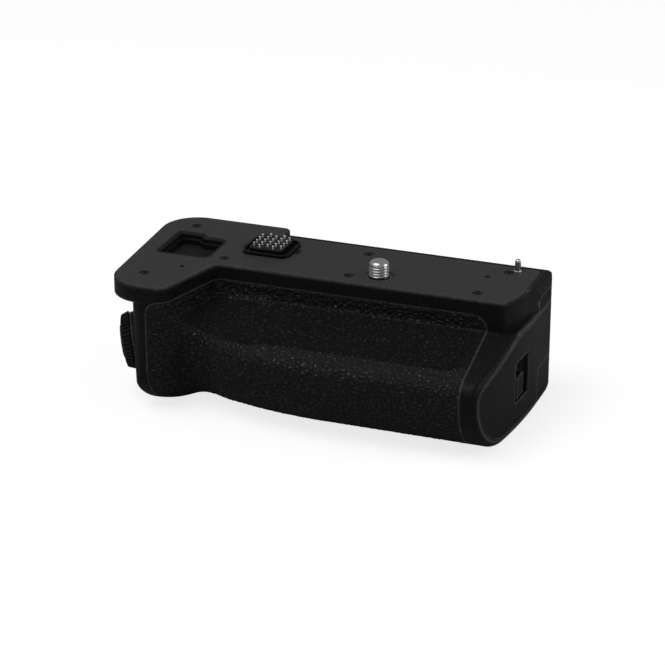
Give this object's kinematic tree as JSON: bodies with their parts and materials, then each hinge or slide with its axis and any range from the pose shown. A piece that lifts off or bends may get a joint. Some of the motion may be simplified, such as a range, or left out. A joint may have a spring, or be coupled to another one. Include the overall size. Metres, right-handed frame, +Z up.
{
  "type": "camera_battery_grip",
  "caption": "Camera battery grip: screws under a camera by a geared wheel, with battery door, shutter controls, dials and a leather-grained finger bulge",
  "frame": {"origin": "mouth of the tripod socket in the base, on the lens axis, where the base rests", "axes": "+X along the grip to the battery door end, -Y to the front with the finger bulge, +Z up to the camera"},
  "size_m": [0.1313, 0.0675, 0.0479],
  "materials": {
    "casing_plastic": "fine-grained black casing paint",
    "grip_rubber": "leather-grained black rubber",
    "satin_plate": "satin dark grey paint",
    "dark_rubber": "smooth black rubber",
    "inner_plastic": "plain black moulding",
    "dial_plastic": "satin black moulding",
    "bright_metal": "bright turned metal",
    "screw_steel": "dark steel",
    "dark_metal": "black anodised metal",
    "brass": "plain brass",
    "flex_film": "amber film",
    "board_green": "circuit board"
  },
  "bodies": {
    "casing": {"main_casing": "casing_plastic", "grip_skin": "grip_rubber", "top_plate": "satin_plate", "label_panel": "satin_plate", "pocket_liner": "dark_rubber", "plate_screws": "screw_steel", "connector_bezel": "casing_plastic", "connector_skirt": "dark_rubber", "connector_block": "inner_plastic", "guide_pin": "bright_metal", "screw_bushing": "dark_metal", "gear_bracket": "dark_metal", "wheel_axle": "screw_steel", "axle_clip": "screw_steel", "tripod_socket": "bright_metal", "base_cover": "casing_plastic", "base_screws": "screw_steel", "battery_box": "inner_plastic", "battery_contacts": "inner_plastic", "flex_cable": "flex_film", "door_hinge_pin": "screw_steel", "dial_boss": "casing_plastic", "shutter_switch": "inner_plastic", "end_switch_board": "board_green", "rear_cover": "casing_plastic", "rear_screws": "screw_steel", "thumb_pad": "grip_rubber", "rear_dial_axle": "screw_steel", "joystick_base": "inner_plastic", "rear_switch_board": "board_green", "main_board": "board_green", "board_screws": "screw_steel"},
    "contact_pins": {"contact_pins": "bright_metal"},
    "attachment_wheel": {"attachment_wheel": "dark_metal"},
    "screw_gear": {"screw_gear": "brass", "screw_spring": "screw_steel"},
    "camera_screw": {"camera_screw": "bright_metal"},
    "battery_door": {"battery_door": "casing_plastic"},
    "door_latch": {"door_latch": "casing_plastic"},
    "battery": {"battery": "inner_plastic"},
    "dc_cord_cover": {"dc_cord_cover": "dark_rubber"},
    "front_dial": {"front_dial": "dial_plastic"},
    "shutter_button": {"shutter_button": "dial_plastic"},
    "end_button": {"end_button": "dial_plastic"},
    "lock_lever": {"lock_lever": "dial_plastic", "lever_clip": "screw_steel"},
    "rear_dial": {"rear_dial": "dial_plastic"},
    "focus_button": {"focus_button": "dial_plastic"},
    "rear_function_button": {"rear_function_button": "dial_plastic"},
    "joystick_ring": {"joystick_ring": "inner_plastic"},
    "joystick": {"joystick": "dial_plastic"}
  },
  "joints": [
    {"name": "wheel_turn", "type": "hinge", "parent": "casing", "child": "attachment_wheel", "pos_m": [0, 0.0168, 0.0373], "axis": [0, 0, 1], "continuous": true},
    {"name": "screw_turn", "type": "hinge", "parent": "casing", "child": "screw_gear", "pos_m": [0, 0, 0.0296], "axis": [0, 0, 1], "continuous": true},
    {"name": "screw_retract", "type": "slide", "parent": "screw_gear", "child": "camera_screw", "axis": [0, 0, 1], "range_m": [-0.004, 0], "stiffness_N_per_m": 500, "deforming": ["screw_spring"]},
    {"name": "contact_pins_press", "type": "slide", "parent": "casing", "child": "contact_pins", "axis": [0, 0, 1], "range_m": [-0.0008, 0], "stiffness_N_per_m": 400},
    {"name": "door_swing", "type": "hinge", "parent": "casing", "child": "battery_door", "pos_m": [0.045, 0.0243, 0.023], "axis": [0, 0, 1], "range_deg": [0, 100]},
    {"name": "latch_slide", "type": "slide", "parent": "battery_door", "child": "door_latch", "axis": [0, 0, 1], "range_m": [0, 0.0045]},
    {"name": "battery_slide", "type": "slide", "parent": "casing", "child": "battery", "axis": [1, 0, 0], "range_m": [0, 0.00873]},
    {"name": "cord_cover_swing", "type": "hinge", "parent": "casing", "child": "dc_cord_cover", "pos_m": [0.04875, 0.0174, 0.036], "axis": [0, -1, 0], "range_deg": [0, 80]},
    {"name": "front_dial_turn", "type": "hinge", "parent": "casing", "child": "front_dial", "pos_m": [-0.0756, -0.022, 0.0183], "axis": [-0.913, -0.3876, -0.1271], "continuous": true},
    {"name": "shutter_press", "type": "slide", "parent": "casing", "child": "shutter_button", "axis": [-0.913, -0.3876, -0.1271], "range_m": [-0.001, 0], "stiffness_N_per_m": 250},
    {"name": "end_button_press", "type": "slide", "parent": "casing", "child": "end_button", "axis": [-1, 0, 0], "range_m": [-0.0005, 0], "stiffness_N_per_m": 250},
    {"name": "lock_turn", "type": "hinge", "parent": "casing", "child": "lock_lever", "pos_m": [-0.07, 0.012, 0.017], "axis": [-1, 0, 0], "range_deg": [0, 35]},
    {"name": "rear_dial_turn", "type": "hinge", "parent": "casing", "child": "rear_dial", "pos_m": [-0.054, 0.0214, 0.019], "axis": [1, 0, 0], "continuous": true},
    {"name": "focus_press", "type": "slide", "parent": "casing", "child": "focus_button", "axis": [0, 1, 0], "range_m": [-0.0005, 0], "stiffness_N_per_m": 250},
    {"name": "rear_function_press", "type": "slide", "parent": "casing", "child": "rear_function_button", "axis": [0, 1, 0], "range_m": [-0.0005, 0], "stiffness_N_per_m": 250},
    {"name": "joystick_tilt_up", "type": "hinge", "parent": "casing", "child": "joystick_ring", "pos_m": [-0.042, 0.0252, 0.0146], "axis": [1, 0, 0], "range_deg": [-5, 5], "stiffness_Nm_per_rad": 0.02},
    {"name": "joystick_tilt_side", "type": "hinge", "parent": "joystick_ring", "child": "joystick", "pos_m": [-0.042, 0.0252, 0.0146], "axis": [0, 0, 1], "range_deg": [-5, 5], "stiffness_Nm_per_rad": 0.02}
  ],
  "couplings": [
    {"joint": "screw_turn", "follows": "wheel_turn", "ratio": -1.1},
    {"joint": "door_swing", "follows": "battery_slide", "rad_per_m": 200}
  ]
}
